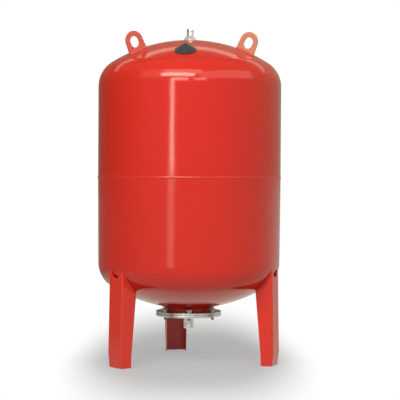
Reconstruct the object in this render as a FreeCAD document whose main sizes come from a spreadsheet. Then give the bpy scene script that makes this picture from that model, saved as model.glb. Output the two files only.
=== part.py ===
"""An upright expansion tank on three folded legs.

Millimetres, +Z up. The origin is on the floor under the vessel's axis, and the rear leg stands at +Y.
Every size comes from the sheet. Pieces on the dome are drawn in a frame whose origin is the centre
of the dome's sphere, with Z along the normal and X down the slope, and are then turned into place.
"""
import FreeCAD, Part
import math
import os
from types import SimpleNamespace

import Sketcher

SIZES = {
    # Vessel: two deep-drawn halves that meet in a weld at mid-height
    "shell_radius": 300.0,
    "shell_wall": 2.5,
    "crown_radius": 480.0,
    "knuckle_radius": 92.0,
    "heel_height": 325.0,
    "lower_wall_height": 280.0,
    "upper_wall_height": 297.0,
    "lower_draft": 2.0,
    "root_gap": 1.0,
    "bead_width": 8.0,
    "bead_height": 1.4,
    # Neck under the lower head
    "neck_radius": 74.0,
    "neck_wall": 4.0,
    "neck_drop": 9.0,
    "neck_inside": 4.0,
    "lip_width": 6.0,
    "lip_thick": 3.0,
    "neck_fillet": 6.0,
    # Flange stack
    "bolt_offset": 15.0,
    "flange_margin": 18.0,
    "backing_thick": 6.0,
    "counter_thick": 9.0,
    "recess_depth": 3.0,
    "flange_seam": 0.5,
    "bolt_count": 6,
    "bolt_angle": 21.8,
    "bolt_radius": 5.0,
    "bolt_length": 30.0,
    "head_flats": 16.0,
    "head_height": 6.4,
    "washer_radius": 10.0,
    "washer_thick": 2.0,
    "spring_washer_radius": 8.8,
    "spring_washer_thick": 2.5,
    "spring_washer_slit": 1.2,
    # Water connection, a one-inch pipe thread
    "pipe_radius": 16.85,
    "pipe_wall": 4.25,
    "pipe_drop": 42.0,
    "pipe_fillet": 4.0,
    "pipe_thread_radius": 16.6,
    "pipe_thread_length": 32.0,
    "pipe_chamfer": 1.5,
    # Rubber bag
    "bag_radius": 215.0,
    "bag_wall": 2.0,
    "bag_lift": 20.0,
    "bag_drop": 57.0,
    "bag_rim_width": 22.0,
    "bag_tail_radius": 27.0,
    "bag_lip": 4.0,
    # Top fitting that holds the bag's tail
    "spigot_radius": 11.0,
    "spigot_bore": 6.0,
    "spigot_flange_radius": 21.0,
    "spigot_flange_thick": 4.0,
    "spigot_rise": 27.5,
    "collar_radius": 21.0,
    "collar_foot": 2.0,
    "collar_height": 15.5,
    "collar_lip": 1.0,
    "plug_washer_thick": 1.6,
    "plug_flats": 19.0,
    "plug_head": 9.0,
    "plug_reach": 14.0,
    # Gas valve under its cover on the front of the dome
    "valve_angle": 256.8,
    "valve_inset": 89.6,
    "boss_radius": 13.0,
    "boss_rise": 5.0,
    "boss_reach": 6.0,
    "boss_bore": 6.0,
    "stem_collar_radius": 9.0,
    "stem_collar_thick": 3.0,
    "stem_radius": 3.9,
    "stem_rise": 16.0,
    "stem_bore": 2.7,
    "core_reach": 18.0,
    "core_pin_radius": 0.8,
    "core_pin_rise": 1.5,
    "dust_cap_radius": 5.2,
    "dust_cap_length": 9.0,
    "dust_cap_top": 1.2,
    "cover_radius": 35.0,
    "cover_rim": 2.6,
    "cover_height": 23.0,
    "cover_nose_radius": 9.0,
    "cover_nose_drop": 3.0,
    "cover_wall": 2.0,
    "cover_sleeve_wall": 1.6,
    # Legs, each one folded from sheet into a channel that opens towards the axis
    "leg_angle": 330.0,
    "leg_angle_step": 120.0,
    "leg_wall": 3.0,
    "leg_width": 70.0,
    "leg_bend": 2.0,
    "leg_lap": 20.0,
    "leg_top_inset": 2.0,
    "leg_top_depth": 61.0,
    "leg_toe_height": 43.0,
    "leg_toe_outset": 3.0,
    "leg_toe_depth": 42.5,
    "leg_foot_inset": 2.0,
    "leg_foot_depth": 35.5,
    "leg_notch_depth": 20.0,
    "leg_notch_radius": 22.4,
    "leg_weld": 4.5,
    "leg_weld_edge": 0.6,
    "leg_weld_reach": 42.0,
    # Lifting lugs on the dome
    "lug_angle_shift": -6.7,
    "lug_inset": 101.0,
    "lug_thick": 5.0,
    "lug_width": 63.0,
    "lug_height": 66.0,
    "lug_flare": 2.0,
    "lug_slot_width": 31.0,
    "lug_slot_length": 37.0,
    "lug_slot_height": 30.5,
    "lug_weld": 5.0,
    # Clearances
    "thread_clearance": 0.05,
    "seat_clearance": 0.15,
    "fit_clearance": 0.5,
}

SIDES = ("right", "left", "rear")


class Size:
    """A number together with its formula in the cells of the sheet."""

    def __init__(self, number, formula):
        self.number = number
        self.formula = formula

    def __add__(self, other):
        other = as_size(other)
        return Size(self.number + other.number, f"({self.formula} + {other.formula})")

    def __sub__(self, other):
        other = as_size(other)
        return Size(self.number - other.number, f"({self.formula} - {other.formula})")

    def __mul__(self, other):
        other = as_size(other)
        return Size(self.number * other.number, f"({self.formula} * {other.formula})")

    def __truediv__(self, other):
        other = as_size(other)
        return Size(self.number / other.number, f"({self.formula} / {other.formula})")

    def __radd__(self, other):
        return as_size(other) + self

    def __rsub__(self, other):
        return as_size(other) - self

    def __rmul__(self, other):
        return as_size(other) * self

    def __neg__(self):
        return Size(-self.number, f"(0 - {self.formula})")


def as_size(value):
    return value if isinstance(value, Size) else Size(float(value), repr(float(value)))


def root(value):
    return Size(math.sqrt(value.number), f"sqrt({value.formula})")


def arcsine(value):
    return Size(math.degrees(math.asin(value.number)), f"asin({value.formula})")


def third_side(hypotenuse, side):
    """The third side of a right triangle."""
    return root(hypotenuse * hypotenuse - side * side)


# Sheet and helpers


def make_sheet(doc):
    """Write the driving sizes into a sheet and return them as Sizes."""
    sheet = doc.addObject("Spreadsheet::Sheet", "dims")
    for row, (name, number) in enumerate(SIZES.items(), start=1):
        sheet.set(f"A{row}", str(number))
        sheet.setAlias(f"A{row}", name)
    doc.recompute()
    return SimpleNamespace(**{name: Size(float(number), f"dims.{name}") for name, number in SIZES.items()})


def new_body(doc, name):
    body = doc.addObject("PartDesign::Body", name)
    body.Label = name
    body.AllowCompound = True
    return body


def origin_part(body, role):
    return next(part for part in body.Origin.OriginFeatures if part.Role == role)


def bind(feature, prop, value):
    feature.setExpression(prop, as_size(value).formula)


def place(body, height, turn=0.0, tilt=0.0):
    """Lean the body by tilt towards its +X, turn it about the vessel's axis and lift it."""
    height, turn, tilt = as_size(height), as_size(turn), as_size(tilt)
    base = f"create(<<vector>>; 0; 0; {height.formula})"
    rotation = f"create(<<rotation>>; {turn.formula}; {tilt.formula}; 0)"
    body.setExpression("Placement", f"create(<<placement>>; {base}; {rotation})")


def dome_tilt(d, inset):
    """The slope of the dome at the given distance inside the vessel's wall."""
    return arcsine((d.shell_radius - inset) / d.crown_radius)


def put_on_dome(body, d, v, turn, inset):
    place(body, v.dome.centre, turn, dome_tilt(d, inset))


def arc_middle(start, end, radius):
    """The middle of the short arc from start to end. A positive radius bulges to the right of the way."""
    chord = end - start
    half = chord.Length / 2
    bulge = abs(radius) - math.sqrt(max(radius * radius - half * half, 0.0))
    right = FreeCAD.Vector(chord.y, -chord.x, 0).normalize()
    return (start + end) * 0.5 + right * math.copysign(bulge, radius)


def outline(sketch, corners):
    """Draw one closed outline, all of it bound to the sheet.

    A corner is (across, up), or (across, up, radius) where an arc runs from it to the next corner.
    """
    corners = [tuple(as_size(value) for value in corner) for corner in corners]
    points = [FreeCAD.Vector(corner[0].number, corner[1].number, 0) for corner in corners]
    ends = []
    for index, corner in enumerate(corners):
        start, end = points[index], points[(index + 1) % len(points)]
        if len(corner) == 3:
            radius = corner[2].number
            arc = Part.Arc(start, arc_middle(start, end, radius), end)
            curve = sketch.addGeometry(arc, False)
            # A sketch keeps arcs anticlockwise, so one that bulges left of the way starts at its end
            ends.append((curve, 1, 2) if radius > 0 else (curve, 2, 1))
            bind_constraint(sketch, ("Radius", curve, abs(radius)), corner[2] if radius > 0 else -corner[2])
        else:
            curve = sketch.addGeometry(Part.LineSegment(start, end), False)
            ends.append((curve, 1, 2))
    for index, corner in enumerate(corners):
        curve, first, _ = ends[index]
        previous, _, last = ends[index - 1]
        sketch.addConstraint(Sketcher.Constraint("Coincident", previous, last, curve, first))
        bind_constraint(sketch, ("DistanceX", -1, 1, curve, first, corner[0].number), corner[0])
        bind_constraint(sketch, ("DistanceY", -1, 1, curve, first, corner[1].number), corner[1])


def bind_constraint(sketch, parts, value):
    index = sketch.addConstraint(Sketcher.Constraint(*parts))
    sketch.setExpression(f"Constraints[{index}]", value.formula)


def new_sketch(body, plane="XZ_Plane", height=None):
    sketch = body.newObject("Sketcher::SketchObject", "outline")
    sketch.AttachmentSupport = [(origin_part(body, plane), "")]
    sketch.MapMode = "FlatFace"
    if height is not None:
        bind(sketch, "AttachmentOffset.Base.z", height)
    return sketch


def add_circle(sketch, across, up, radius):
    across, up, radius = as_size(across), as_size(up), as_size(radius)
    centre = FreeCAD.Vector(across.number, up.number, 0)
    circle = sketch.addGeometry(Part.Circle(centre, FreeCAD.Vector(0, 0, 1), radius.number), False)
    bind_constraint(sketch, ("Radius", circle, radius.number), radius)
    bind_constraint(sketch, ("DistanceX", -1, 1, circle, 3, across.number), across)
    bind_constraint(sketch, ("DistanceY", -1, 1, circle, 3, up.number), up)


def revolve(body, corners, kind="Revolution", angle=360.0):
    """Turn an outline of (radius, height) corners about the body's Z axis."""
    sketch = new_sketch(body)
    outline(sketch, corners)
    feature = body.newObject(f"PartDesign::{kind}", kind.lower())
    feature.Profile = sketch
    feature.ReferenceAxis = (sketch, ["V_Axis"])
    bind(feature, "Angle", angle)
    return feature


def extrude(body, sketch, length, symmetric=False):
    feature = body.newObject("PartDesign::Pad", "pad")
    feature.Profile = sketch
    feature.SideType = "Symmetric" if symmetric else "One side"
    bind(feature, "Length", length)
    return feature


def cut_through(body, sketch):
    feature = body.newObject("PartDesign::Pocket", "cut")
    feature.Profile = sketch
    feature.SideType = "Symmetric"
    feature.Type = "ThroughAll"
    return feature


def repeat_round(body, features, count):
    """Repeat features evenly about the body's Z axis."""
    pattern = body.newObject("PartDesign::PolarPattern", "pattern")
    pattern.Originals = features
    pattern.Axis = (origin_part(body, "Z_Axis"), [""])
    pattern.Angle = 360
    bind(pattern, "Occurrences", count)
    body.Tip = pattern
    return pattern


def ring(inner, outer, bottom, top):
    """The corners of a plain ring."""
    return [(inner, bottom), (outer, bottom), (outer, top), (inner, top)]


def draw_hexagon(sketch, across, flats):
    """A hexagon with a corner towards +X."""
    reach = flats / math.sqrt(3)
    side = flats / 2
    corners = [(across + reach, 0), (across + reach / 2, side), (across - reach / 2, side),
               (across - reach, 0), (across - reach / 2, -side), (across + reach / 2, -side)]
    outline(sketch, corners)


# Dished heads


def dished_head(d, rim_radius, rim_height, up, lean=0.0):
    """The arcs of one dished head, where up is 1 for the dome and -1 for the bottom.

    The wall leaves the rim with the given lean, the rise of its inward normal.
    """
    lean = as_size(lean)
    level = third_side(as_size(1.0), lean)
    centre_gap = d.crown_radius - d.knuckle_radius
    knuckle_across = rim_radius - d.knuckle_radius * level
    knuckle_height = rim_height + d.knuckle_radius * lean
    rise = third_side(centre_gap, knuckle_across)
    crown_height = knuckle_height - up * rise

    def rim(depth=0.0):
        return rim_radius - depth * level, rim_height + depth * lean

    def turning(depth=0.0):
        share = (d.crown_radius - depth) / centre_gap
        return knuckle_across * share, crown_height + up * rise * share

    def crown(across, depth=0.0):
        return across, crown_height + up * third_side(d.crown_radius - depth, as_size(across))

    def knuckle(across, depth=0.0):
        return across, knuckle_height + up * third_side(d.knuckle_radius - depth, across - knuckle_across)

    return SimpleNamespace(rim=rim, turning=turning, crown=crown, knuckle=knuckle, centre=crown_height,
                           up=up, apex=crown_height + up * d.crown_radius, level=level)


def vessel(d):
    """Heights and heads that the pieces share."""
    belt = d.heel_height + d.lower_wall_height
    dome = dished_head(d, d.shell_radius, belt + d.upper_wall_height, 1)
    slant = root(d.lower_wall_height * d.lower_wall_height + d.lower_draft * d.lower_draft)
    bottom = dished_head(d, d.shell_radius - d.lower_draft, d.heel_height, -1, d.lower_draft / slant)
    backing_top = bottom.apex - d.neck_drop
    counter_top = backing_top - d.backing_thick - d.flange_seam
    return SimpleNamespace(
        belt=belt, dome=dome, bottom=bottom, backing_top=backing_top,
        counter_top=counter_top, counter_base=counter_top - d.counter_thick,
        lip_base=backing_top - d.backing_thick,
        lip_radius=d.neck_radius + d.lip_width,
        bolt_circle=d.neck_radius + d.bolt_offset,
        flange_radius=d.neck_radius + d.bolt_offset + d.flange_margin)


def half_shell(body, d, head, edge, mouth):
    """One half of the vessel, from its edge at the weld to the mouth in its crown."""
    wall = d.shell_wall
    revolve(body, [
        (d.shell_radius, edge),
        (*head.rim(), head.up * d.knuckle_radius),
        (*head.turning(), head.up * d.crown_radius),
        head.crown(mouth),
        (*head.crown(mouth, wall), -head.up * (d.crown_radius - wall)),
        (*head.turning(wall), -head.up * (d.knuckle_radius - wall)),
        head.rim(wall),
        (d.shell_radius - wall / head.level, edge)])


def upper_shell(doc, d, v):
    body = new_body(doc, "upper_shell")
    half_shell(body, d, v.dome, v.belt + d.root_gap / 2, d.spigot_radius + d.fit_clearance)
    doc.recompute()
    hole = body.newObject("PartDesign::SubtractiveCylinder", "valve_hole")
    bind(hole, "Radius", d.boss_radius + d.seat_clearance)
    bind(hole, "Height", d.crown_radius + d.boss_rise)
    put_on_dome(hole, d, v, d.valve_angle, d.valve_inset)


def lower_shell(doc, d, v):
    body = new_body(doc, "lower_shell")
    half_shell(body, d, v.bottom, v.belt - d.root_gap / 2, d.neck_radius + d.seat_clearance)


def girth_weld(doc, d, v):
    """The bead that fills the gap between the halves and stands a little proud outside."""
    body = new_body(doc, "girth_weld")
    half = d.bead_width / 2
    bulge = (half * half + d.bead_height * d.bead_height) / (2 * d.bead_height)
    gap = d.root_gap / 2
    inner = d.shell_radius - d.shell_wall
    revolve(body, [
        (inner, v.belt - gap),
        (d.shell_radius, v.belt - gap),
        (d.shell_radius, v.belt - half, bulge),
        (d.shell_radius, v.belt + half),
        (d.shell_radius, v.belt + gap),
        (inner, v.belt + gap)])


# Neck and flanges


def bottom_neck(doc, d, v):
    """The tube welded into the lower head, with an outward lip for the backing flange."""
    body = new_body(doc, "bottom_neck")
    inner = d.neck_radius - d.neck_wall
    top = v.bottom.crown(inner, d.shell_wall)[1] + d.neck_inside
    lip_top = v.lip_base + d.lip_thick
    revolve(body, [
        (inner, v.lip_base), (v.lip_radius, v.lip_base), (v.lip_radius, lip_top),
        (d.neck_radius, lip_top), (d.neck_radius, top), (inner, top)])


def neck_weld(doc, d, v):
    """The hollow fillet between the neck and the lower head."""
    body = new_body(doc, "neck_weld")
    foot = v.bottom.crown(d.neck_radius)
    toe = v.bottom.crown(d.neck_radius + d.neck_fillet)
    height = d.neck_fillet + toe[1] - foot[1]
    hollow = (d.neck_fillet * d.neck_fillet + height * height) / (2 * d.neck_fillet)
    revolve(body, [
        (foot[0], foot[1] - d.neck_fillet, -hollow), (*toe, -d.crown_radius), foot])


def backing_flange(doc, d, v):
    """The loose ring behind the neck's lip."""
    body = new_body(doc, "backing_flange")
    recess = v.lip_radius + d.fit_clearance
    bore = d.neck_radius + d.fit_clearance
    step = v.lip_base + d.lip_thick
    revolve(body, [
        (recess, v.lip_base), (v.flange_radius, v.lip_base), (v.flange_radius, v.backing_top),
        (bore, v.backing_top), (bore, step), (recess, step)])
    doc.recompute()
    drill_circle(body, d, v.bolt_circle, d.bolt_radius + d.fit_clearance)


def drill_circle(body, d, circle, radius):
    """The bolt holes of a flange."""
    sketch = new_sketch(body, "XY_Plane")
    add_circle(sketch, circle, 0, radius)
    hole = cut_through(body, sketch)
    repeat_round(body, [hole], d.bolt_count)
    place(body, 0, d.bolt_angle)


def counter_flange(doc, d, v):
    """The flange that closes the neck, recessed for the bag's rim and bored for the pipe."""
    body = new_body(doc, "counter_flange")
    recess = v.lip_radius + d.fit_clearance
    bore = d.pipe_radius + d.seat_clearance
    floor = v.counter_top - d.recess_depth
    revolve(body, [
        (bore, v.counter_base), (v.flange_radius, v.counter_base), (v.flange_radius, v.counter_top),
        (recess, v.counter_top), (recess, floor), (bore, floor)])
    doc.recompute()
    drill_circle(body, d, v.bolt_circle, d.bolt_radius + d.thread_clearance)


def washer_disc(body, d, v, base, thick, radius):
    """The first of the rings that lie at the bolts."""
    sketch = new_sketch(body, "XY_Plane", base)
    add_circle(sketch, v.bolt_circle, 0, radius)
    add_circle(sketch, v.bolt_circle, 0, d.bolt_radius + d.seat_clearance)
    return extrude(body, sketch, thick)


def flange_washers(doc, d, v):
    body = new_body(doc, "flange_washers")
    disc = washer_disc(body, d, v, v.backing_top, d.washer_thick, d.washer_radius)
    doc.recompute()
    repeat_round(body, [disc], d.bolt_count)
    place(body, 0, d.bolt_angle)


def flange_spring_washers(doc, d, v):
    """Split rings under the bolt heads."""
    body = new_body(doc, "flange_spring_washers")
    base = v.backing_top + d.washer_thick
    disc = washer_disc(body, d, v, base, d.spring_washer_thick, d.spring_washer_radius)
    doc.recompute()
    slit = new_sketch(body, "XY_Plane")
    half = d.spring_washer_slit / 2
    far = v.bolt_circle + d.spring_washer_radius + d.fit_clearance
    outline(slit, [(v.bolt_circle, -half), (far, -half), (far, half), (v.bolt_circle, half)])
    cut = cut_through(body, slit)
    doc.recompute()
    repeat_round(body, [disc, cut], d.bolt_count)
    place(body, 0, d.bolt_angle)


def flange_bolts(doc, d, v):
    """Hexagon bolts from above, threaded into the counter flange."""
    body = new_body(doc, "flange_bolts")
    seat = v.backing_top + d.washer_thick + d.spring_washer_thick
    shank_sketch = new_sketch(body, "XY_Plane", seat - d.bolt_length)
    add_circle(shank_sketch, v.bolt_circle, 0, d.bolt_radius)
    shank = extrude(body, shank_sketch, d.bolt_length)
    doc.recompute()
    head_sketch = new_sketch(body, "XY_Plane", seat)
    draw_hexagon(head_sketch, v.bolt_circle, d.head_flats)
    head = extrude(body, head_sketch, d.head_height)
    doc.recompute()
    repeat_round(body, [shank, head], d.bolt_count)
    place(body, 0, d.bolt_angle)


def water_connection(doc, d, v):
    """The threaded pipe through the counter flange, with a chamfered end."""
    body = new_body(doc, "water_connection")
    bore = d.pipe_radius - d.pipe_wall
    end = v.counter_base - d.pipe_drop
    top = v.counter_top - d.recess_depth
    thread = d.pipe_thread_radius
    thread_top = end + d.pipe_thread_length
    revolve(body, [
        (bore, end), (thread - d.pipe_chamfer, end), (thread, end + d.pipe_chamfer),
        (thread, thread_top), (d.pipe_radius, thread_top), (d.pipe_radius, top), (bore, top)])


def connection_weld(doc, d, v):
    """The fillet between the pipe and the underside of the counter flange."""
    body = new_body(doc, "connection_weld")
    base = v.counter_base
    revolve(body, [
        (d.pipe_radius, base - d.pipe_fillet), (d.pipe_radius + d.pipe_fillet, base),
        (d.pipe_radius, base)])


# Rubber bag and the top fitting


def membrane(doc, d, v):
    """The bag: rim in the flange, straight throat, round-ended body, and a tail with a lip at the dome."""
    body = new_body(doc, "membrane")
    throat = d.neck_radius - d.neck_wall - d.fit_clearance
    throat_in = throat - d.bag_wall
    inner = d.bag_radius - d.bag_wall
    tail_in = d.bag_tail_radius - d.bag_wall
    low = v.bottom.apex + d.bag_lift + d.bag_radius
    high = v.dome.apex - d.bag_drop - d.bag_radius
    rim_base = v.counter_top - d.recess_depth
    rim_in = v.lip_radius - d.bag_rim_width
    lip_hole = d.spigot_radius + d.seat_clearance
    lip_top = v.dome.crown(d.bag_tail_radius, d.shell_wall)
    lip_top_in = v.dome.crown(lip_hole, d.shell_wall)
    lip_base = lip_top[1] - d.bag_lip
    revolve(body, [
        (rim_in, rim_base),
        (v.lip_radius, rim_base),
        (v.lip_radius, v.lip_base),
        (throat, v.lip_base),
        (throat, low - third_side(d.bag_radius, throat), d.bag_radius),
        (d.bag_radius, low),
        (d.bag_radius, high, d.bag_radius),
        (d.bag_tail_radius, high + third_side(d.bag_radius, d.bag_tail_radius)),
        (*lip_top, d.crown_radius - d.shell_wall),
        lip_top_in,
        (lip_hole, lip_base),
        (tail_in, lip_base),
        (tail_in, high + third_side(inner, tail_in), -inner),
        (inner, high),
        (inner, low, -inner),
        (throat_in, low - third_side(inner, throat_in)),
        (throat_in, v.lip_base),
        (rim_in, v.lip_base)])


def top_spigot(doc, d, v):
    """The threaded fitting that clamps the bag's tail against the dome from inside."""
    body = new_body(doc, "top_spigot")
    flange_top = v.dome.crown(d.bag_tail_radius, d.shell_wall)[1] - d.bag_lip
    flange_base = flange_top - d.spigot_flange_thick
    top = v.dome.apex + d.spigot_rise
    revolve(body, [
        (d.spigot_bore, flange_base), (d.spigot_flange_radius, flange_base),
        (d.spigot_flange_radius, flange_top), (d.spigot_radius, flange_top),
        (d.spigot_radius, top), (d.spigot_bore, top)])


def top_collar(doc, d, v):
    """The conical nut that pulls the spigot up against the dome."""
    body = new_body(doc, "top_collar")
    bore = d.spigot_radius + d.thread_clearance
    foot = v.dome.crown(d.collar_radius)
    top = v.dome.apex + d.collar_height
    revolve(body, [
        foot, (d.collar_radius, foot[1] + d.collar_foot), (bore + d.collar_lip, top), (bore, top),
        (*v.dome.crown(bore), -d.crown_radius)])


def top_plug_washer(doc, d, v):
    body = new_body(doc, "top_plug_washer")
    base = v.dome.apex + d.spigot_rise
    revolve(body, ring(d.spigot_bore, d.spigot_radius + d.seat_clearance, base, base + d.plug_washer_thick))


def top_plug(doc, d, v):
    """The hexagon plug that closes the spigot."""
    body = new_body(doc, "top_plug")
    seat = v.dome.apex + d.spigot_rise + d.plug_washer_thick
    shank_sketch = new_sketch(body, "XY_Plane", seat - d.plug_reach)
    add_circle(shank_sketch, 0, 0, d.spigot_bore - d.thread_clearance)
    extrude(body, shank_sketch, d.plug_reach)
    doc.recompute()
    head_sketch = new_sketch(body, "XY_Plane", seat)
    draw_hexagon(head_sketch, 0, d.plug_flats)
    extrude(body, head_sketch, d.plug_head)


# Gas valve


def valve_boss(doc, d, v):
    """The threaded boss welded into the dome."""
    body = new_body(doc, "valve_boss")
    base = d.crown_radius - d.shell_wall - d.boss_reach
    revolve(body, ring(d.boss_bore, d.boss_radius, base, d.crown_radius + d.boss_rise))
    put_on_dome(body, d, v, d.valve_angle, d.valve_inset)


def valve_stem(doc, d, v):
    """The turned stem, screwed into the boss down to its collar."""
    body = new_body(doc, "valve_stem")
    seat = d.crown_radius + d.boss_rise
    base = d.crown_radius - d.shell_wall - d.boss_reach
    thread = d.boss_bore - d.thread_clearance
    collar_top = seat + d.stem_collar_thick
    top = d.crown_radius + d.stem_rise
    revolve(body, [
        (d.stem_bore, base), (thread, base), (thread, seat), (d.stem_collar_radius, seat),
        (d.stem_collar_radius, collar_top), (d.stem_radius, collar_top), (d.stem_radius, top),
        (d.stem_bore, top)])
    put_on_dome(body, d, v, d.valve_angle, d.valve_inset)


def valve_core(doc, d, v):
    """The insert with its pin, screwed into the stem."""
    body = new_body(doc, "valve_core")
    top = d.crown_radius + d.stem_rise
    head = top - d.core_pin_rise
    revolve(body, [
        (0, top - d.core_reach), (d.stem_bore - d.thread_clearance, top - d.core_reach),
        (d.stem_bore - d.thread_clearance, head), (d.core_pin_radius, head),
        (d.core_pin_radius, top), (0, top)])
    put_on_dome(body, d, v, d.valve_angle, d.valve_inset)


def valve_dust_cap(doc, d, v):
    """The small screw cap on the stem."""
    body = new_body(doc, "valve_dust_cap")
    top = d.crown_radius + d.stem_rise + d.dust_cap_top
    inner = d.stem_radius + d.thread_clearance
    base = top - d.dust_cap_length
    roof = d.crown_radius + d.stem_rise
    revolve(body, [
        (inner, base), (d.dust_cap_radius, base), (d.dust_cap_radius, top), (0, top), (0, roof),
        (inner, roof)])
    put_on_dome(body, d, v, d.valve_angle, d.valve_inset)


def valve_cover(doc, d, v):
    """The conical cover, with a sleeve inside that grips the boss."""
    body = new_body(doc, "valve_cover")
    rim_in = d.cover_radius - d.cover_wall
    rim_base = third_side(d.crown_radius, rim_in)
    rim_top = rim_base + d.cover_rim
    nose_base = rim_base + d.cover_height - d.cover_nose_drop
    top = rim_base + d.cover_height
    bulge = (d.cover_nose_radius * d.cover_nose_radius + d.cover_nose_drop * d.cover_nose_drop) \
        / (2 * d.cover_nose_drop)
    slope = (nose_base - rim_top) / (d.cover_radius - d.cover_nose_radius)
    sleeve_in = d.boss_radius + d.seat_clearance
    sleeve_out = sleeve_in + d.cover_sleeve_wall
    sleeve_base = d.crown_radius + d.fit_clearance

    def under_cone(across):
        return rim_top + slope * (rim_in - across)

    revolve(body, [
        (rim_in, rim_base), (d.cover_radius, rim_base), (d.cover_radius, rim_top),
        (d.cover_nose_radius, nose_base, bulge), (0, top), (0, nose_base),
        (d.cover_nose_radius - d.cover_wall, nose_base),
        (sleeve_in, under_cone(sleeve_in)), (sleeve_in, sleeve_base), (sleeve_out, sleeve_base),
        (sleeve_out, under_cone(sleeve_out)), (rim_in, rim_top)])
    put_on_dome(body, d, v, d.valve_angle, d.valve_inset)


# Legs


def channel_section(body, d, height, web, depth):
    """The section of a leg's channel, with its web at the given distance from the vessel's axis."""
    half = d.leg_width / 2
    bend = d.leg_bend + d.leg_wall
    free = web - depth
    side = half - d.leg_wall
    sketch = new_sketch(body, "XY_Plane", height)
    outline(sketch, [
        (free, -half), (web - bend, -half, bend), (web, bend - half), (web, half - bend, bend),
        (web - bend, half), (free, half), (free, side), (web - bend, side, -d.leg_bend),
        (web - d.leg_wall, half - bend), (web - d.leg_wall, bend - half, -d.leg_bend),
        (web - bend, -side), (free, -side)])
    return sketch


def leg(doc, d, v, name, turn):
    """One leg: a tapering channel with an inward toe, cut to the lower head and notched at the top."""
    body = new_body(doc, name)
    top = d.heel_height - d.leg_lap
    foot = channel_section(body, d, 0, d.shell_radius - d.leg_foot_inset, d.leg_foot_depth)
    toe = channel_section(body, d, d.leg_toe_height, d.shell_radius + d.leg_toe_outset, d.leg_toe_depth)
    head = channel_section(body, d, top, d.shell_radius - d.leg_top_inset, d.leg_top_depth)
    channel = body.newObject("PartDesign::AdditiveLoft", "channel")
    channel.Profile = foot
    channel.Sections = [toe, head]
    channel.Ruled = True
    doc.recompute()
    seat_on_bottom(body, d, v)
    doc.recompute()
    notch = new_sketch(body, "YZ_Plane")
    add_circle(notch, 0, top - d.leg_notch_depth + d.leg_notch_radius, d.leg_notch_radius)
    cut_through(body, notch)
    place(body, 0, turn)


def seat_on_bottom(body, d, v):
    """Cut away what reaches into the lower head."""
    above = v.bottom.rim()[1]
    revolve(body, [
        (0, v.bottom.apex, d.crown_radius), (*v.bottom.turning(), d.knuckle_radius),
        v.bottom.rim(), (0, above)], "Groove")


def bead_section(body, d, v, beside, size):
    """A weld bead's section in the plane at the given distance beside a leg's middle."""
    outer = d.shell_radius - d.leg_top_inset - d.leg_wall - d.leg_bend
    inner = outer - d.leg_weld_reach
    top = d.heel_height - d.leg_lap
    low = v.bottom.knuckle(root(inner * inner + beside * beside), -size)[1]
    high = v.bottom.knuckle(root(outer * outer + beside * beside), -size)[1]
    sketch = new_sketch(body, "XZ_Plane", beside)
    outline(sketch, [(inner, low, d.knuckle_radius + size), (outer, high), (outer, top), (inner, top)])
    return sketch


def leg_welds(doc, d, v):
    """A fillet bead along both sides of each leg, where they meet the lower head.

    It keeps a thin edge, because a bead that runs out to nothing leaves a torn solid.
    """
    body = new_body(doc, "leg_welds")
    near = d.leg_width / 2
    beads = []
    for side in (1, -1):
        bead = body.newObject("PartDesign::AdditiveLoft", "bead")
        bead.Profile = bead_section(body, d, v, side * near, d.leg_weld)
        bead.Sections = [bead_section(body, d, v, side * (near + d.leg_weld), d.leg_weld_edge)]
        bead.Ruled = True
        doc.recompute()
        beads.append(bead)
    repeat_round(body, beads, as_size(len(SIDES)))
    doc.recompute()
    seat_on_bottom(body, d, v)
    place(body, 0, d.leg_angle)


# Lifting lugs


def lug(doc, d, v, name, turn):
    """One lug: a plate on edge, round at the top, with a slot."""
    body = new_body(doc, name)
    round_radius = d.lug_width / 2
    half_base = round_radius + d.lug_flare
    shoulder = d.crown_radius + d.lug_height - round_radius
    foot = third_side(d.crown_radius, half_base)
    sketch = new_sketch(body)
    outline(sketch, [
        (half_base, foot), (round_radius, shoulder, round_radius),
        (0, shoulder + round_radius, round_radius),
        (-round_radius, shoulder), (-half_base, foot, -d.crown_radius)])
    extrude(body, sketch, d.lug_thick, symmetric=True)
    doc.recompute()
    slot = new_sketch(body)
    end = d.lug_slot_width / 2
    middle = d.crown_radius + d.lug_slot_height
    reach = d.lug_slot_length / 2 - end
    outline(slot, [
        (end, middle - reach), (end, middle + reach, end), (0, middle + reach + end, end),
        (-end, middle + reach), (-end, middle - reach, end), (0, middle - reach - end, end)])
    cut_through(body, slot)
    put_on_dome(body, d, v, turn, d.lug_inset)


def lug_welds(doc, d, v):
    """A bead along both sides of each lug, turned about the line through the dome's centre."""
    body = new_body(doc, "lug_welds")
    sketch = new_sketch(body, "YZ_Plane")
    offset = f"create(<<vector>>; 0; {v.dome.centre.formula}; 0)"
    lean = f"create(<<rotation>>; create(<<vector>>; 1; 0; 0); {dome_tilt(d, d.lug_inset).formula})"
    sketch.setExpression("AttachmentOffset", f"create(<<placement>>; {offset}; {lean})")
    near = d.lug_thick / 2
    far = near + d.lug_weld
    for side in (1, -1):
        outline(sketch, [
            (side * near, third_side(d.crown_radius, near), -side * d.crown_radius),
            (side * far, third_side(d.crown_radius, far)),
            (side * near, third_side(d.crown_radius, near) + d.lug_weld)])
    bead = body.newObject("PartDesign::Revolution", "bead")
    bead.Profile = sketch
    bead.ReferenceAxis = (sketch, ["H_Axis"])
    bead.Midplane = True
    half_base = d.lug_width / 2 + d.lug_flare
    bind(bead, "Angle", 2 * arcsine(half_base / d.crown_radius))
    doc.recompute()
    repeat_round(body, [bead], as_size(len(SIDES)))
    place(body, 0, d.leg_angle + d.lug_angle_shift)


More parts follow.
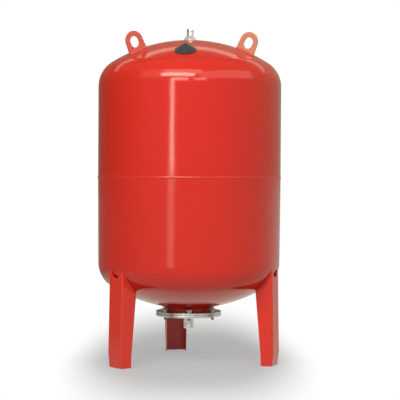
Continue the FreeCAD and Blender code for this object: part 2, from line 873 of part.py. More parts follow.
def build(doc):
    d = make_sheet(doc)
    v = vessel(d)
    for make in (upper_shell, lower_shell, girth_weld, bottom_neck, neck_weld, backing_flange,
                 counter_flange, flange_washers, flange_spring_washers, flange_bolts,
                 water_connection, connection_weld, membrane, top_spigot, top_collar,
                 top_plug_washer, top_plug, valve_boss, valve_stem, valve_core, valve_dust_cap,
                 valve_cover):
        make(doc, d, v)
    for index, side in enumerate(SIDES):
        turn = d.leg_angle - index * d.leg_angle_step
        leg(doc, d, v, f"leg_{side}", turn)
        lug(doc, d, v, f"lug_{side}", turn + d.lug_angle_shift)
    leg_welds(doc, d, v)
    lug_welds(doc, d, v)
    doc.recompute()


def check(doc):
    """Stop if any object failed or any piece's shape is missing or invalid."""
    for item in doc.Objects:
        if "Invalid" in item.State or "Error" in item.State:
            raise RuntimeError(f"{item.Label}: {item.State}")
    for body in doc.findObjects("PartDesign::Body"):
        if body.Shape.isNull() or not body.Shape.isValid() or not body.Shape.Solids:
            raise RuntimeError(f"{body.Label}: bad shape")


def export(doc):
    os.makedirs("parts", exist_ok=True)
    for body in doc.findObjects("PartDesign::Body"):
        body.Shape.exportStep(os.path.join("parts", f"{body.Label}.step"))
        print(body.Label, len(body.Shape.Solids), "solids,", round(body.Shape.Volume / 1000, 2), "cm3")


document = FreeCAD.newDocument("expansion_tank")
build(document)
check(document)
export(document)
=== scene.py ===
"""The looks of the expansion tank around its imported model.

Metres, in the row's frame: +Z up, the origin on the floor under the vessel's axis, rear leg at +Y.
Azimuths are degrees about that axis, from the camera's side and positive to the right.
"""
import math

import bmesh
import bpy
from mathutils import Matrix, Vector


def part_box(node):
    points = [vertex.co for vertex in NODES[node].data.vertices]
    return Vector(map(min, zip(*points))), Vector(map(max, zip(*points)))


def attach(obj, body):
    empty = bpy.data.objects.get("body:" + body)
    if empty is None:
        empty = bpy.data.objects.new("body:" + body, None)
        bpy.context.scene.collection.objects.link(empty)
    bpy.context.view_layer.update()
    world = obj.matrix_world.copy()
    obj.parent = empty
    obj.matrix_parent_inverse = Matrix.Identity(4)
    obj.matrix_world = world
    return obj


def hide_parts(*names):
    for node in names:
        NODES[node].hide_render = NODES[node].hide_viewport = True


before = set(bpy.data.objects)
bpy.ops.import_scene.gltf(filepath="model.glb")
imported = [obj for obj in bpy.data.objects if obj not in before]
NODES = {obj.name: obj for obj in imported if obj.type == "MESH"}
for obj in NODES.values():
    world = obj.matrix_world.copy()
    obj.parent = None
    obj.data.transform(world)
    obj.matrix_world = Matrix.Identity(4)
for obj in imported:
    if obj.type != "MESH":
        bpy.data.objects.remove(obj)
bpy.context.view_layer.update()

# The camera: its azimuth from -Y and its roll are in degrees, its pitch and yaw in radians
CAMERA_AZIMUTH = -9.2
CAMERA_DISTANCE = 4.727
CAMERA_HEIGHT = 0.625
CAMERA_PITCH = 0.02
CAMERA_YAW = 0.0075
CAMERA_ROLL = 0.35
CAMERA_REACH = 200.0
PHOTO_SIDE = 400
FOCAL_PIXELS = 1435
SENSOR_WIDTH = 36.0

# The lamps: how far they stand from the vessel's axis, and the heights on it that they look at
LAMP_COLOUR = (1.0, 0.98, 0.8)
LAMP_DISTANCE = 3.0
TUBE_DISTANCE = 1.5
WALL = 0.6
DOME = 0.95

# The room's light on the object: its level, and how much is added from above, behind and the right.
# Its colour is white at the camera's side and warm away from it, and turns between these two cosines
WHITE = (1.0, 1.0, 1.0)
ROOM_WARM = (1.0, 0.94, 0.68)
ROOM_WARM_TURN = (-0.3, 0.7)
ROOM_LEVEL = 0.04
ROOM_UP = 0.15
ROOM_BEHIND = 0.5
ROOM_RIGHT = 0.2

# What gloss mirrors of the room: a level, and three parts that are darker by so much. Each pair holds
# the sines of a ray's height, or the cosines of its turn, between which the part comes or goes
ROOM_MIRRORED = 0.7
CORNER_AZIMUTH = -140.0
CORNER_DARK_LOW = 0.52
CORNER_DARK_HIGH = 0.1
CORNER_RISE = (0.5, 0.75)
CEILING_DARK = 0.3
CEILING_RISE = (0.6, 0.8)
CEILING_TURN = (0.15, 0.4)
SIDE_AZIMUTH = 130.0
SIDE_DARK = 0.1
SIDE_TURN = (0.92, 0.99)

# The floor: its colour in view and in the light that it throws back, and what gloss mirrors of it,
# which is darker towards the same corner, between these two distances
FLOOR_SIZE = 60.0
FLOOR_ROUGH = 0.9
FLOOR_COLOUR = (0.64, 0.69, 0.83)
FLOOR_BOUNCE = (0.48, 0.48, 0.48)
FLOOR_WARM = (1.0, 0.97, 0.82)
FLOOR_MIRRORED = 0.85
FLOOR_DARK = 0.6
FLOOR_DARK_REACH = (0.4, 1.5)

# The wide shadow on the floor, mostly a painted shadow: the grey of its painted part, the share of it that
# is painted and even (the rest is the lamps' own shadow), its half width, how soon and by what power it runs
# out behind and before the object, its soft edge, and the power of its round corners
PAINTED_SHADOW_GREY = 0.52
PAINTED_SHADOW_SHARE = 0.7
SHADOW_ACROSS = 0.42
SHADOW_BEHIND = 0.72
SHADOW_BEFORE = 0.87
SHADOW_FADE = 0.45
SHADOW_EDGE = (0.57, 1.05)
SHADOW_CORNERS = 3.0

# Enamel: its lighter and deeper tone, the dust in it, the painted sheen that stands for the light washing
# out some pieces, and how much rougher its dull patches are
RED_LIGHT = (0.62, 0.013, 0.0045)
RED_DEEP = (0.585, 0.0115, 0.0038)
RED_DUST = (0.74, 0.04, 0.03)
PAINTED_SHEEN_LIGHT = (0.0, 0.7, 0.5)
PAINTED_SHEEN_DEEP = (0.0, 0.6, 0.4)
RED_DULL = 0.05

# The zinc on the flange and the pipe, the plating on the bolts, darkened as a painted shade for the shade
# under the vessel, and on the top fitting, and how many times as bright the dark clouds in them are, and as
# rough the dull patches
ZINC = (0.68, 0.69, 0.71)
PIPE_ZINC = (0.92, 0.94, 0.98)
PLATING_PAINTED_SHADE = (0.5, 0.49, 0.48)
BRIGHT_PLATING = (0.94, 0.95, 0.98)
ZINC_DARK = 0.75
ZINC_DULL = 1.6

# Noise lies mostly between these values
NOISE = (0.3, 0.7)

# Threads: a crest's width and a thread's depth as shares of the pitch, and a flank's fall in depths a pitch
THREAD_CREST = 1 / 6
THREAD_SLOPE = 3.0
BOLT_RADIUS = 0.005
BOLT_PITCH = 0.0015
BOLT_DEPTH = 0.65
BOLT_HEAD = 0.0064
BOLT_PLAIN = 0.008
PIPE_PITCH = 0.00231
PIPE_DEPTH = 0.64
PIPE_THREAD = 0.032
PIPE_WALL = 0.00425
SPIGOT_PITCH = 0.00181
SPIGOT_DEPTH = 0.6
SPIGOT_THREAD = 0.0128
SPIGOT_RADIUS = 0.011
SPIGOT_BORE = 0.006
SPIGOT_FLANGE = 0.004
PLUG_HEAD = 0.009
PLUG_RADIUS = 0.00595

# Hexagon heads: the radius of the round top and how deep the chamfer goes, as shares of the flats
CHAMFER_TOP = 0.475
CHAMFER_DEPTH = 0.15

# Weld beads: a ripple's length and depth. The girth bead stands this proud, has its root this deep, its
# ripples bow by this share of a ripple, and between them it dips by this share of its height
RIPPLE = 0.0035
RIPPLE_DEPTH = 0.0003
BEAD_HEIGHT = 0.0014
BEAD_ROOT = 0.003
BEAD_BOW = 0.8
BEAD_DIP = 0.28

# How finely the details are divided: steps round a piece, rows in a pitch, of a bolt and of the other
# threads, rows in a head if it were as high as it is wide, rows in half the girth bead and steps in each
# of its ripples, and in a fillet the longest edge and the most rounds of cutting
BOLT_STEPS = 36
PIPE_STEPS = 72
FITTING_STEPS = 60
BOLT_ROWS = 8
THREAD_ROWS = 9
HEAD_ROWS = 60
BEAD_ROWS = 5
BEAD_STEPS = 5
FILLET_EDGE = 0.4 * RIPPLE
FILLET_ROUNDS = 8

# Corners nearer than this are one, and sharper edges than these, in degrees, stay sharp
SAME_PLACE = 1e-6
CUT_CREASE = 25.0
WELD_CREASE = 60.0

# Punching and painting round a sheet's edges this much, and turning a flange's, where an edge turns by
# more than this angle in degrees
SHEET_EDGE = 0.0005
FLANGE_EDGE = 0.0006
EDGE_ANGLE = 50.0


# Shader helpers


class Nodes:
    """A node tree, with short calls to add and join nodes."""

    def __init__(self, tree):
        self.nodes = tree.nodes
        self.links = tree.links

    def add(self, kind, **settings):
        """A new node with its settings."""
        node = self.nodes.new(kind)
        for key, value in settings.items():
            setattr(node, key, value)
        return node

    def join(self, source, target):
        """A link from an output to an input."""
        self.links.new(source, target)

    def math(self, operation, *values):
        """One Math node over numbers and outputs."""
        node = self.add("ShaderNodeMath", operation=operation)
        for socket, value in zip(node.inputs, values):
            if isinstance(value, (int, float)):
                socket.default_value = value
            else:
                self.join(value, socket)
        return node.outputs["Value"]

    def along(self, place, direction):
        """How far a place or direction goes along another."""
        node = self.add("ShaderNodeVectorMath", operation="DOT_PRODUCT")
        node.inputs[1].default_value = direction
        self.join(place, node.inputs[0])
        return node.outputs["Value"]

    def towards(self, direction, azimuth):
        """The cosine of a direction's turn from an azimuth, or 0 where it looks away from it."""
        return self.math("MAXIMUM", self.along(direction, around(azimuth, 1.0, 0.0)), 0.0)

    def spread(self, source, low, high, start=0.0, end=1.0, smooth=False):
        """Map a value from start..end to low..high."""
        node = self.add("ShaderNodeMapRange", interpolation_type="SMOOTHSTEP" if smooth else "LINEAR")
        node.inputs["From Min"].default_value = start
        node.inputs["From Max"].default_value = end
        node.inputs["To Min"].default_value = low
        node.inputs["To Max"].default_value = high
        self.join(source, node.inputs["Value"])
        return node.outputs["Result"]

    def blend(self, factor, first, second):
        """Mix two colours, each a tuple or an output."""
        node = self.add("ShaderNodeMix", data_type="RGBA")
        self.join(factor, node.inputs["Factor"])
        sockets = [socket for socket in node.inputs if socket.type == "RGBA"]
        for socket, colour in zip(sockets, (first, second)):
            if isinstance(colour, tuple):
                socket.default_value = (*colour, 1.0)
            else:
                self.join(colour, socket)
        return next(socket for socket in node.outputs if socket.type == "RGBA")


class Shader(Nodes):
    """A material's nodes."""

    def __init__(self, name):
        self.material = bpy.data.materials.new(name)
        self.material.use_nodes = True
        super().__init__(self.material.node_tree)
        self.bsdf = self.nodes["Principled BSDF"]
        self.position = self.add("ShaderNodeTexCoord").outputs["Object"]

    def noise(self, scale, detail=3.0, roughness=0.5, stretch=None):
        """Noise from 0 to 1 at the given scale per metre, stretched where wanted."""
        node = self.add("ShaderNodeTexNoise")
        node.inputs["Scale"].default_value = scale
        node.inputs["Detail"].default_value = detail
        node.inputs["Roughness"].default_value = roughness
        place = self.position
        if stretch:
            mapping = self.add("ShaderNodeMapping")
            mapping.inputs["Scale"].default_value = stretch
            self.join(place, mapping.inputs["Vector"])
            place = mapping.outputs["Vector"]
        self.join(place, node.inputs["Vector"])
        return node.outputs["Fac"]

    def bump(self, height, distance, strength, under=None):
        """A bump of the given depth, over another one where there is one under it."""
        node = self.add("ShaderNodeBump")
        node.inputs["Strength"].default_value = strength
        node.inputs["Distance"].default_value = distance
        self.join(height, node.inputs["Height"])
        if under:
            self.join(under, node.inputs["Normal"])
        return node.outputs["Normal"]

    def finish(self, **sockets):
        """Set the shader's own sockets: a number stays on the socket, an output is joined."""
        for name, value in sockets.items():
            socket = self.bsdf.inputs[name.replace("_", " ")]
            if isinstance(value, bpy.types.NodeSocket):
                self.join(value, socket)
            else:
                socket.default_value = value
        return self.material


# Finishes


def with_painted_light(tone, depth, painted_sheen, pale):
    """A tone made deeper or lighter as painted shade or light, with a share of painted sheen over it."""
    return tuple(depth * part + pale * more for part, more in zip(tone, painted_sheen))


def red_paint(name="red_enamel", gloss=0.45, rough=0.09, depth=1.0, pale=0.0):
    """Oven enamel on drawn sheet: slow waves, a fine peel, clouds and dust in its tone, duller patches."""
    shader = Shader(name)
    # depth and pale make lit and shaded copies of the enamel: a painted lighter or darker tone and a painted
    # sheen
    light = with_painted_light(RED_LIGHT, depth, PAINTED_SHEEN_LIGHT, pale)
    deep = with_painted_light(RED_DEEP, depth, PAINTED_SHEEN_DEEP, pale)
    cloud = shader.spread(shader.noise(3.0, detail=4.0, roughness=0.6), 0.0, 1.0, *NOISE)
    dust = shader.spread(shader.noise(900.0, detail=1.0), 0.0, 0.1, start=0.5, end=0.8)
    colour = shader.blend(dust, shader.blend(cloud, deep, light), (RED_DUST[0] * depth, *RED_DUST[1:]))
    dull = shader.spread(shader.noise(14.0, detail=4.0, roughness=0.6), rough, rough + RED_DULL, *NOISE)
    waves = shader.bump(shader.noise(7.0, detail=2.0), distance=0.004, strength=0.12)
    peel = shader.bump(shader.noise(300.0, detail=2.0), distance=0.0001, strength=0.2, under=waves)
    return shader.finish(Base_Color=colour, Roughness=dull, Normal=peel, Specular_IOR_Level=gloss)


def zinc_steel(name, base, rough=0.28, rings=True):
    """Steel with a cloudy zinc skin and a fine grain, which lies in rings where it was turned."""
    shader = Shader(name)
    cloud = shader.spread(shader.noise(60.0, detail=5.0, roughness=0.65), 0.0, 1.0, *NOISE)
    colour = shader.blend(cloud, tuple(ZINC_DARK * part for part in base), base)
    dull = shader.spread(shader.noise(220.0), rough, ZINC_DULL * rough, *NOISE)
    marks = shader.noise(500.0, detail=2.0, stretch=(1.0, 1.0, 6.0) if rings else None)
    grain = shader.bump(marks, distance=0.0002, strength=0.3)
    return shader.finish(Metallic=1.0, Base_Color=colour, Roughness=dull, Normal=grain)


def black_plastic():
    """Moulded plastic with a fine grain."""
    shader = Shader("black_plastic")
    grain = shader.noise(700.0)
    colour = shader.blend(shader.noise(50.0), (0.024, 0.025, 0.034), (0.036, 0.038, 0.052))
    dull = shader.spread(grain, 0.16, 0.28, *NOISE)
    skin = shader.bump(grain, distance=0.0002, strength=0.4)
    return shader.finish(Base_Color=colour, Roughness=dull, Normal=skin)


def black_rubber():
    """Dull rubber with a little talc on it."""
    shader = Shader("black_rubber")
    talc = shader.noise(90.0, detail=4.0, roughness=0.6)
    colour = shader.blend(talc, (0.014, 0.014, 0.014), (0.04, 0.038, 0.036))
    dull = shader.spread(talc, 0.55, 0.8)
    skin = shader.bump(shader.noise(600.0, detail=2.0), distance=0.0002, strength=0.4)
    return shader.finish(Base_Color=colour, Roughness=dull, Normal=skin)


def brass():
    """Turned brass, tarnished in places."""
    shader = Shader("turned_brass")
    cloud = shader.noise(120.0)
    colour = shader.blend(cloud, (0.6, 0.42, 0.17), (0.78, 0.58, 0.27))
    dull = shader.spread(cloud, 0.2, 0.38)
    return shader.finish(Metallic=1.0, Base_Color=colour, Roughness=dull)


# Stage, lights and camera


def around(azimuth, distance, height):
    """A point at an azimuth from the camera's side of the vessel."""
    angle = math.radians(CAMERA_AZIMUTH + azimuth)
    return Vector((math.sin(angle) * distance, -math.cos(angle) * distance, height))


def make_camera():
    """The photograph's camera."""
    camera = bpy.data.cameras.new("camera")
    camera.sensor_width = SENSOR_WIDTH
    camera.lens = FOCAL_PIXELS / PHOTO_SIDE * SENSOR_WIDTH
    camera.clip_end = CAMERA_REACH
    item = bpy.data.objects.new("camera", camera)
    bpy.context.scene.collection.objects.link(item)
    turn = (Matrix.Rotation(math.radians(CAMERA_AZIMUTH) - CAMERA_YAW, 4, "Z")
            @ Matrix.Rotation(math.pi / 2 - CAMERA_PITCH, 4, "X")
            @ Matrix.Rotation(math.radians(CAMERA_ROLL), 4, "Z"))
    item.matrix_world = Matrix.Translation(around(0.0, CAMERA_DISTANCE, CAMERA_HEIGHT)) @ turn
    bpy.context.scene.camera = item


def softbox(name, azimuth, height, width, length, radiance, aim=DOME, distance=LAMP_DISTANCE):
    """A lamp of the given radiance, which looks at a height on the vessel's axis."""
    lamp = bpy.data.lights.new(name, "AREA")
    lamp.shape = "RECTANGLE"
    lamp.size = width
    lamp.size_y = length
    lamp.energy = radiance * math.pi * width * length
    lamp.color = LAMP_COLOUR
    item = bpy.data.objects.new(name, lamp)
    bpy.context.scene.collection.objects.link(item)
    item.location = around(azimuth, distance, height)
    item.rotation_euler = (Vector((0, 0, aim)) - item.location).to_track_quat("-Z", "Y").to_euler()


def make_lamps():
    """Two strips left of the camera, panels above it, a wide lamp at each side and a tube behind."""
    softbox("strip", -20.5, height=1.15, width=0.24, length=1.05, radiance=8.4, aim=WALL)
    softbox("strip_low", -21.5, height=0.37, width=0.4, length=0.7, radiance=1.75, aim=WALL)
    softbox("high", -15.5, height=2.6, width=2.35, length=0.77, radiance=11.5)
    softbox("higher", -10.0, height=3.73, width=3.1, length=0.92, radiance=2.8)
    softbox("level_left", -12.0, height=1.64, width=1.1, length=0.41, radiance=7.0)
    softbox("level_right", 12.0, height=1.64, width=0.8, length=0.41, radiance=4.0)
    softbox("right", 50.0, height=2.68, width=4.6, length=1.64, radiance=1.35)
    softbox("left", -51.0, height=2.68, width=1.5, length=1.64, radiance=0.7)
    softbox("tube_behind", 180.0, height=2.55, width=6.0, length=0.3, radiance=1.1, distance=TUBE_DISTANCE)


def room_mirrored(room, direction, up):
    """The level at which gloss mirrors the room, darker at a corner, high up behind and at one side."""
    corner = room.spread(up, CORNER_DARK_LOW, CORNER_DARK_HIGH, *CORNER_RISE)
    corner = room.math("MULTIPLY", room.towards(direction, CORNER_AZIMUTH), corner)
    ceiling = room.spread(up, 0.0, CEILING_DARK, *CEILING_RISE)
    behind = room.spread(room.towards(direction, 180.0), 0.0, 1.0, *CEILING_TURN)
    ceiling = room.math("MULTIPLY", ceiling, behind)
    side = room.spread(room.towards(direction, SIDE_AZIMUTH), 0.0, SIDE_DARK, *SIDE_TURN)
    dark = room.math("ADD", corner, room.math("ADD", ceiling, side))
    return room.math("SUBTRACT", ROOM_MIRRORED, dark)


def room_light(room, direction, up):
    """The level at which the room lights the object."""
    level = room.math("MULTIPLY_ADD", room.towards(direction, 180.0), ROOM_BEHIND, ROOM_LEVEL)
    level = room.math("MULTIPLY_ADD", up, ROOM_UP, level)
    return room.math("MULTIPLY_ADD", room.towards(direction, 90.0), ROOM_RIGHT, level)


def make_world():
    """White in view, with one level for what gloss mirrors and a lower one that lights the object."""
    world = bpy.data.worlds.new("room")
    world.use_nodes = True
    bpy.context.scene.world = world
    room = Nodes(world.node_tree)
    background = room.nodes["Background"]
    direction = room.add("ShaderNodeTexCoord").outputs["Generated"]
    up = room.math("MAXIMUM", room.along(direction, (0.0, 0.0, 1.0)), 0.0)
    rays = room.add("ShaderNodeLightPath").outputs
    in_view = rays["Is Camera Ray"]
    in_gloss = room.math("MAXIMUM", rays["Is Glossy Ray"], rays["Is Transmission Ray"])
    shown = room.math("MAXIMUM", in_view, in_gloss)
    seen = room.math("MAXIMUM", room_mirrored(room, direction, up), in_view)
    lit = room.math("MULTIPLY", room_light(room, direction, up), room.math("SUBTRACT", 1.0, shown))
    room.join(room.math("MULTIPLY_ADD", seen, shown, lit), background.inputs["Strength"])
    warm = room.spread(room.along(direction, around(0.0, 1.0, 0.0)), 1.0, 0.0, *ROOM_WARM_TURN)
    warm = room.math("MULTIPLY", warm, room.math("SUBTRACT", 1.0, in_view))
    room.join(room.blend(warm, WHITE, ROOM_WARM), background.inputs["Color"])


def painted_shadow_edge(shader):
    """0 inside the painted shadow round the object and 1 past it, with long soft ends before and behind it.
    """
    across = shader.along(shader.position, around(90.0, 1.0, 0.0))
    across = shader.math("DIVIDE", across, SHADOW_ACROSS)
    depth = shader.along(shader.position, around(180.0, 1.0, 0.0))
    behind = shader.math("POWER", shader.math("MAXIMUM", depth, 0.0), SHADOW_FADE)
    before = shader.math("MAXIMUM", shader.math("MULTIPLY", depth, -1.0), 0.0)
    before = shader.math("POWER", before, SHADOW_FADE)
    deep = shader.math("MULTIPLY_ADD", behind, SHADOW_BEHIND, shader.math("MULTIPLY", before, SHADOW_BEFORE))
    powers = [shader.math("POWER", shader.math("ABSOLUTE", part), SHADOW_CORNERS) for part in (across, deep)]
    reach = shader.math("POWER", shader.math("ADD", *powers), 1 / SHADOW_CORNERS)
    return shader.spread(reach, 0.0, 1.0, *SHADOW_EDGE, smooth=True)


def floor_mirrored(shader):
    """The level at which gloss mirrors the floor: pale near the object, and dark off towards the corner."""
    aside = shader.add("ShaderNodeVectorMath", operation="NORMALIZE")
    shader.join(shader.position, aside.inputs[0])
    away = shader.add("ShaderNodeVectorMath", operation="LENGTH")
    shader.join(shader.position, away.inputs[0])
    dark = shader.spread(away.outputs["Value"], 0.0, FLOOR_DARK, *FLOOR_DARK_REACH)
    dark = shader.math("MULTIPLY", shader.towards(aside.outputs["Vector"], CORNER_AZIMUTH), dark)
    return shader.math("SUBTRACT", FLOOR_MIRRORED, dark)


def floor_glow_and_painted_shadow(shader, edge, in_view):
    """The floor's even glow: in view the grey of the painted shadow, and in gloss the mirrored level."""
    painted_grey = shader.spread(edge, PAINTED_SHADOW_GREY * PAINTED_SHADOW_SHARE, 1.0)
    painted_grey = shader.math("DIVIDE", painted_grey, shader.spread(edge, PAINTED_SHADOW_SHARE, 1.0))
    level = shader.add("ShaderNodeMix", data_type="FLOAT")
    shader.join(in_view, level.inputs["Factor"])
    shader.join(floor_mirrored(shader), level.inputs["A"])
    shader.join(painted_grey, level.inputs["B"])
    glow = shader.add("ShaderNodeEmission")
    shader.join(shader.blend(in_view, FLOOR_WARM, WHITE), glow.inputs["Color"])
    shader.join(level.outputs["Result"], glow.inputs["Strength"])
    return glow.outputs["Emission"]


def make_floor():
    """A pale floor with a painted shadow round the object, partly the lamps' own, which runs out to white.
    """
    bpy.ops.mesh.primitive_plane_add(size=FLOOR_SIZE, location=(0, 0, 0))
    floor = bpy.context.object
    floor.name = "floor"
    shader = Shader("pale_floor")
    rays = shader.add("ShaderNodeLightPath").outputs
    colour = shader.blend(rays["Is Diffuse Ray"], FLOOR_COLOUR, FLOOR_BOUNCE)
    shader.finish(Base_Color=colour, Roughness=FLOOR_ROUGH)
    edge = painted_shadow_edge(shader)
    # In view, inside the shadow, this share of the floor is the painted grey glow and the rest is lit by the
    # lamps
    even = shader.math("MULTIPLY", shader.spread(edge, PAINTED_SHADOW_SHARE, 1.0), rays["Is Camera Ray"])
    for ray in ("Is Glossy Ray", "Is Transmission Ray"):
        even = shader.math("MAXIMUM", even, rays[ray])
    mix = shader.add("ShaderNodeMixShader")
    shader.join(even, mix.inputs["Fac"])
    shader.join(shader.bsdf.outputs["BSDF"], mix.inputs[1])
    shader.join(floor_glow_and_painted_shadow(shader, edge, rays["Is Camera Ray"]), mix.inputs[2])
    shader.join(mix.outputs["Shader"], shader.nodes["Material Output"].inputs["Surface"])
    floor.data.materials.append(shader.material)


# Pieces


def paint(material, *names):
    """Give CAD nodes a material."""
    for name in names:
        mesh = NODES[name].data
        mesh.materials.clear()
        mesh.materials.append(material)


def soften(width, *names):
    """Round the sharp edges of plates a little."""
    for name in names:
        piece = NODES[name]
        weld = piece.modifiers.new("weld", "WELD")
        weld.merge_threshold = SAME_PLACE
        edge = piece.modifiers.new("edge", "BEVEL")
        edge.width = width
        edge.segments = 2
        edge.limit_method = "ANGLE"
        edge.angle_limit = math.radians(EDGE_ANGLE)
        edge.harden_normals = False


# Detailed pieces, which stand where their CAD nodes are


def stand_in(name, mesh, material, crease):
    """Show a mesh in place of the CAD node of the same name, on the part's only body."""
    data = bpy.data.meshes.new(name)
    bmesh.ops.recalc_face_normals(mesh, faces=mesh.faces)
    mesh.to_mesh(data)
    mesh.free()
    data.shade_smooth()
    data.set_sharp_from_angle(angle=math.radians(crease))
    data.materials.append(material)
    piece = bpy.data.objects.new(name + "_detail", data)
    bpy.context.scene.collection.objects.link(piece)
    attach(piece, "root")
    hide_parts(name)


def node_mesh(name):
    """A CAD node's mesh in the row frame, with its corners joined."""
    mesh = bmesh.new()
    mesh.from_mesh(NODES[name].data)
    bmesh.ops.transform(mesh, matrix=NODES[name].matrix_world, verts=mesh.verts)
    bmesh.ops.remove_doubles(mesh, verts=mesh.verts, dist=SAME_PLACE)
    return mesh


def solids(mesh):
    """The separate solids of a mesh, each as the list of its corners."""
    seen = set()
    groups = []
    for first in mesh.verts:
        if first in seen:
            continue
        seen.add(first)
        group = []
        waiting = [first]
        while waiting:
            corner = waiting.pop()
            group.append(corner)
            for edge in corner.link_edges:
                other = edge.other_vert(corner)
                if other not in seen:
                    seen.add(other)
                    waiting.append(other)
        groups.append(group)
    return groups


def extent(points):
    """The lowest and highest corner of some points."""
    low = Vector([min(point[axis] for point in points) for axis in range(3)])
    high = Vector([max(point[axis] for point in points) for axis in range(3)])
    return low, high


def turned(mesh, at, rows, steps, turn=0.0, closed=False):
    """Rings about an upright axis. Each row has a height, and a radius or a function that gives it."""
    rings = []
    for height, radius in rows:
        ring = []
        for step in range(steps):
            angle = math.tau * step / steps
            out = radius(height, angle) if callable(radius) else radius
            side = Vector((math.cos(angle + turn), math.sin(angle + turn), 0.0))
            ring.append(mesh.verts.new(Vector((at.x, at.y, height)) + out * side))
        rings.append(ring)
    pairs = list(zip(rings, rings[1:]))
    if closed:
        pairs.append((rings[-1], rings[0]))
    else:
        mesh.faces.new(rings[0])
        mesh.faces.new(rings[-1])
    for low, high in pairs:
        for step in range(steps):
            after = (step + 1) % steps
            mesh.faces.new((low[step], low[after], high[after], high[step]))


def thread(outer, depth, pitch, low, high, chamfer=0.0):
    """A screw thread's radius, which runs out at its high end and may have a chamfer at its low end."""
    def radius(height, angle):
        phase = (height / pitch - angle / math.tau) % 1.0
        run_out = min(1.0, max(0.0, (high - height) / pitch))
        flank = min(1.0, max(0.0, THREAD_SLOPE * (abs(phase - 0.5) - THREAD_CREST / 2)))
        return min(outer - depth * pitch * run_out * flank, outer - chamfer + height - low)
    return radius


def levels(low, high, step):
    """Even heights from low to high, about a step apart."""
    count = max(1, round((high - low) / step))
    return [low + (high - low) * index / count for index in range(count + 1)]


def head_rows(flats, seat, top):
    """A hexagon head whose corners are chamfered at the top, at 30 degrees."""
    def radius(height, angle):
        corner = (flats / 2) / math.cos(angle % math.radians(60) - math.radians(30))
        return min(corner, CHAMFER_TOP * flats + (top - height) * math.sqrt(3.0))

    chamfer = levels(top - CHAMFER_DEPTH * flats, top, flats / HEAD_ROWS)
    return [(height, radius) for height in [seat, *chamfer]]


def bolt(mesh, corners):
    """One bolt of the flange, from the corners of its plain solid."""
    low, high = extent([corner.co for corner in corners])
    middle = (low + high) / 2
    far = max((corner.co.xy - middle.xy for corner in corners), key=lambda side: side.length)
    flats = 2 * far.length * math.cos(math.radians(30))
    seat = high.z - BOLT_HEAD
    end = seat - BOLT_PLAIN
    cut = thread(BOLT_RADIUS, BOLT_DEPTH, BOLT_PITCH, low.z, end, BOLT_PITCH / 2)
    rows = [(height, cut) for height in levels(low.z, end, BOLT_PITCH / BOLT_ROWS)]
    rows += [(seat, BOLT_RADIUS), *head_rows(flats, seat, high.z)]
    turned(mesh, middle, rows, BOLT_STEPS, math.atan2(far.y, far.x))


def flange_bolts(material):
    """Chamfered hexagon heads, with threaded tails under the flange."""
    plain = node_mesh("flange_bolts")
    mesh = bmesh.new()
    for corners in solids(plain):
        bolt(mesh, corners)
    plain.free()
    stand_in("flange_bolts", mesh, material, CUT_CREASE)


def water_connection(material):
    """The pipe stub, with a one-inch pipe thread cut on it."""
    low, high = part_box("water_connection")
    outer = (high.x - low.x) / 2
    end = low.z + PIPE_THREAD
    cut = thread(outer, PIPE_DEPTH, PIPE_PITCH, low.z, end, PIPE_PITCH)
    rows = [(low.z, outer - PIPE_WALL)]
    rows += [(height, cut) for height in levels(low.z, end, PIPE_PITCH / THREAD_ROWS)]
    rows += [(high.z, outer), (high.z, outer - PIPE_WALL)]
    mesh = bmesh.new()
    turned(mesh, (low + high) / 2, rows, PIPE_STEPS, closed=True)
    stand_in("water_connection", mesh, material, CUT_CREASE)


def top_spigot(material):
    """The fitting through the dome, threaded where it shows above its nut."""
    low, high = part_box("top_spigot")
    flange = (high.x - low.x) / 2
    shoulder = low.z + SPIGOT_FLANGE
    start = high.z - SPIGOT_THREAD
    cut = thread(SPIGOT_RADIUS, SPIGOT_DEPTH, SPIGOT_PITCH, start, high.z)
    rows = [(low.z, SPIGOT_BORE), (low.z, flange), (shoulder, flange), (shoulder, SPIGOT_RADIUS)]
    rows += [(height, cut) for height in levels(start, high.z, SPIGOT_PITCH / THREAD_ROWS)]
    rows += [(high.z, SPIGOT_BORE)]
    mesh = bmesh.new()
    turned(mesh, (low + high) / 2, rows, FITTING_STEPS, closed=True)
    stand_in("top_spigot", mesh, material, CUT_CREASE)


def top_plug(material):
    """The plug on the top fitting, with a chamfered head."""
    low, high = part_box("top_plug")
    seat = high.z - PLUG_HEAD
    wide = high.x - low.x
    deep = high.y - low.y
    turn = 0.0 if wide > deep else math.radians(30)
    rows = [(low.z, PLUG_RADIUS), (seat, PLUG_RADIUS), *head_rows(min(wide, deep), seat, high.z)]
    mesh = bmesh.new()
    turned(mesh, (low + high) / 2, rows, FITTING_STEPS, turn)
    stand_in("top_plug", mesh, material, CUT_CREASE)


def girth_weld(material):
    """The bead round the vessel's middle, with the ripples that a turning torch leaves."""
    low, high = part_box("girth_weld")
    middle = (low + high) / 2
    outer = (high.x - low.x) / 2
    half = (high.z - low.z) / 2
    root = outer - BEAD_HEIGHT - BEAD_ROOT
    ripples = round(math.tau * outer / RIPPLE)

    def crown(height, angle):
        across = (height - middle.z) / half
        phase = (angle * ripples / math.tau + BEAD_BOW * across * across) % 1.0
        proud = BEAD_HEIGHT * (1.0 - across * across)
        return outer - BEAD_HEIGHT + proud * (1.0 - BEAD_DIP + BEAD_DIP * math.sin(math.pi * phase))

    rows = [(height, crown) for height in levels(low.z, high.z, half / BEAD_ROWS)]
    mesh = bmesh.new()
    turned(mesh, middle, [(low.z, root), *rows, (high.z, root)], ripples * BEAD_STEPS, closed=True)
    stand_in("girth_weld", mesh, material, WELD_CREASE)


def divide(mesh):
    """Cut the long edges of a fillet's mesh in half, again and again."""
    for _ in range(FILLET_ROUNDS):
        long = [edge for edge in mesh.edges if edge.calc_length() > FILLET_EDGE]
        if not long:
            break
        bmesh.ops.subdivide_edges(mesh, edges=long, cuts=1)
        bmesh.ops.triangulate(mesh, faces=mesh.faces)
    mesh.normal_update()


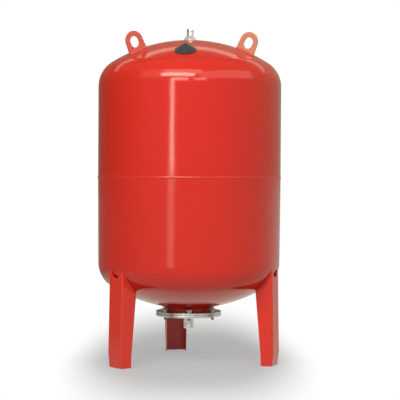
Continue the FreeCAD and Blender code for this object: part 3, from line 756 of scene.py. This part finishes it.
def rippled(name, material):
    """A node's fillet welds, each with ripples across its length."""
    mesh = node_mesh(name)
    divide(mesh)
    shifts = []
    for corners in solids(mesh):
        low, high = extent([corner.co for corner in corners])
        along = (high - low).normalized()
        for corner in corners:
            phase = ((corner.co - low).dot(along) / RIPPLE) % 1.0
            shifts.append((corner, corner.normal * RIPPLE_DEPTH * (math.sin(math.pi * phase) - 1.0)))
    for corner, shift in shifts:
        corner.co += shift
    stand_in(name, mesh, material, WELD_CREASE)


bpy.context.scene.view_settings.view_transform = "Standard"
make_world()
make_floor()
make_camera()
make_lamps()

# The vessel with its legs, lugs, neck and welds
red = red_paint()
# The left and rear lugs and their welds get a slightly darker copy of the enamel with a painted sheen
lug_red_painted_sheen = red_paint("lug_enamel_painted_sheen", gloss=0.8, depth=0.95, pale=0.11)
paint(red, "upper_shell", "lower_shell", "girth_weld", "leg_welds", "valve_boss")
# The legs get a lighter copy of the enamel, painted light, and the rear leg a painted sheen as well
paint(red_paint("leg_enamel_painted_light", depth=1.18, pale=0.015), "leg_right", "leg_left")
paint(red_paint("leg_enamel_rear_painted_light", gloss=0.5, rough=0.2, depth=1.15, pale=0.03), "leg_rear")
paint(lug_red_painted_sheen, "lug_left", "lug_rear", "lug_welds")
# The right lug gets a pale copy of the enamel: a painted highlight
paint(red_paint("lug_enamel_right_painted_highlight", gloss=0.8, pale=0.3), "lug_right")
# The neck and its weld get a lighter, greyer and duller copy of the enamel: painted light and sheen
paint(red_paint("neck_enamel_painted_sheen", gloss=0.3, rough=0.35, depth=1.05, pale=0.08), "bottom_neck", "neck_weld")
soften(SHEET_EDGE, "leg_right", "leg_left", "leg_rear", "lug_right", "lug_left", "lug_rear")
girth_weld(red)
rippled("leg_welds", red)
rippled("lug_welds", lug_red_painted_sheen)

# The flange, its bolts and the pipe
flange_zinc = zinc_steel("zinc_steel", ZINC)
pipe_zinc = zinc_steel("pipe_zinc", PIPE_ZINC, rough=0.2)
# The bolts and washers are darker than the flange's zinc: a painted shade for the shade under the vessel
plated_painted_shade = zinc_steel("plated_steel", PLATING_PAINTED_SHADE, rings=False)
paint(flange_zinc, "backing_flange", "counter_flange")
paint(pipe_zinc, "water_connection", "connection_weld")
paint(plated_painted_shade, "flange_bolts", "flange_spring_washers", "flange_washers")
soften(FLANGE_EDGE, "backing_flange", "counter_flange")
flange_bolts(plated_painted_shade)
water_connection(pipe_zinc)

# The top fitting
bright = zinc_steel("bright_steel", BRIGHT_PLATING, rough=0.12, rings=False)
paint(bright, "top_spigot", "top_collar", "top_plug")
top_spigot(bright)
top_plug(bright)

# The bag, the gas valve and its cover
paint(black_rubber(), "membrane", "top_plug_washer")
paint(black_plastic(), "valve_cover", "valve_dust_cap")
paint(brass(), "valve_stem", "valve_core")
